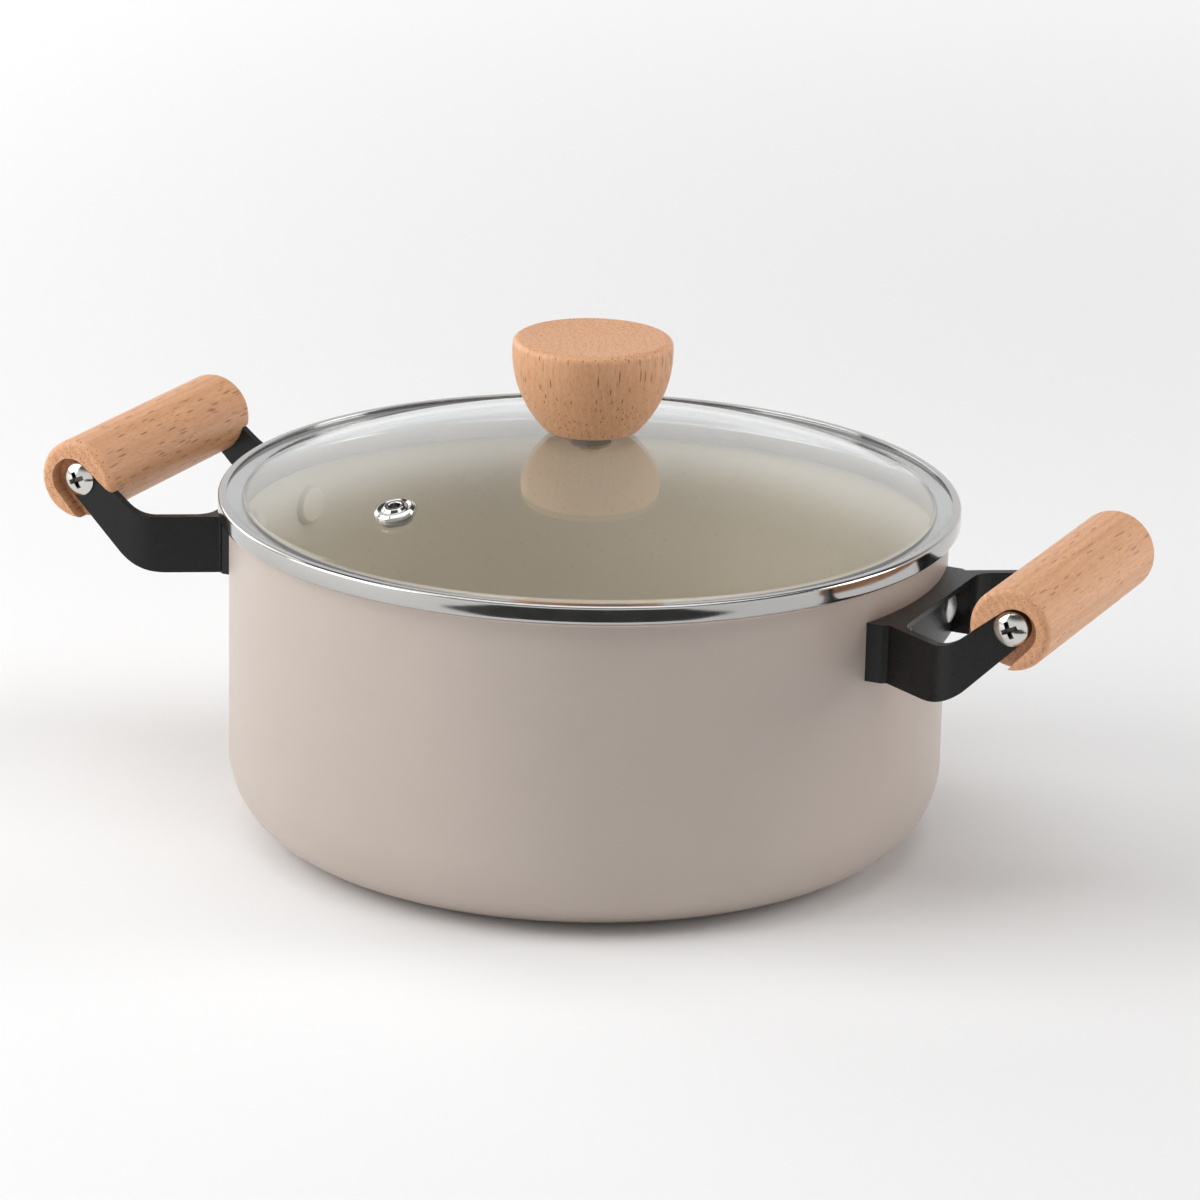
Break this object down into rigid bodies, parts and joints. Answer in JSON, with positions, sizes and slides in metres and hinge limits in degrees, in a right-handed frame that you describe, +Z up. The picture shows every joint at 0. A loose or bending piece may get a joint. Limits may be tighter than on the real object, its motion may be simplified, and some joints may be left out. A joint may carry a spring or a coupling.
{
  "type": "casserole pot",
  "caption": "Round cooking pot with a coated body, wooden bar grips on bracket arms, and a steel-rimmed domed glass lid with a steam vent and a turned wooden knob.",
  "frame": {"origin": "centre of the pot's flat base, on the surface it stands on", "axes": "+Z up along the pot's axis, +X towards the right grip, grips run along Y"},
  "size_m": [0.3718, 0.252, 0.172],
  "materials": {
    "taupe_coating": "satin sprayed coating outside, smooth lighter non-stick coating inside",
    "black_coating": "black satin powder coating, slightly worn along the edges",
    "plate_steel": "circularly brushed induction steel",
    "polished_steel": "polished stainless steel",
    "sleeve_steel": "plain turned steel",
    "aluminium": "plain headed aluminium rivet",
    "brass": "plain turned brass",
    "beech": "oiled beech with fine grain and short dark pores",
    "clear_glass": "clear tempered glass with a polished edge",
    "silicone": "translucent pale grey silicone rubber"
  },
  "bodies": {
    "pot": {"pot_shell": "taupe_coating", "induction_plate": "plate_steel", "bracket_right": "black_coating", "rivets_right": "aluminium", "grip_right": "beech", "grip_sleeve_right": "sleeve_steel", "grip_screws_right": "polished_steel", "bracket_left": "black_coating", "rivets_left": "aluminium", "grip_left": "beech", "grip_sleeve_left": "sleeve_steel", "grip_screws_left": "polished_steel"},
    "lid": {"lid_glass": "clear_glass", "lid_ring": "polished_steel", "vent_eyelet": "polished_steel", "vent_seal": "silicone", "knob": "beech", "knob_insert": "brass", "knob_seat_washer": "silicone", "knob_gasket": "silicone", "knob_washer": "polished_steel", "knob_screw": "polished_steel"}
  },
  "joints": [
    {"name": "lid_lift", "type": "slide", "parent": "pot", "child": "lid", "axis": [0, 0, 1], "range_m": [0, 0.14]}
  ]
}
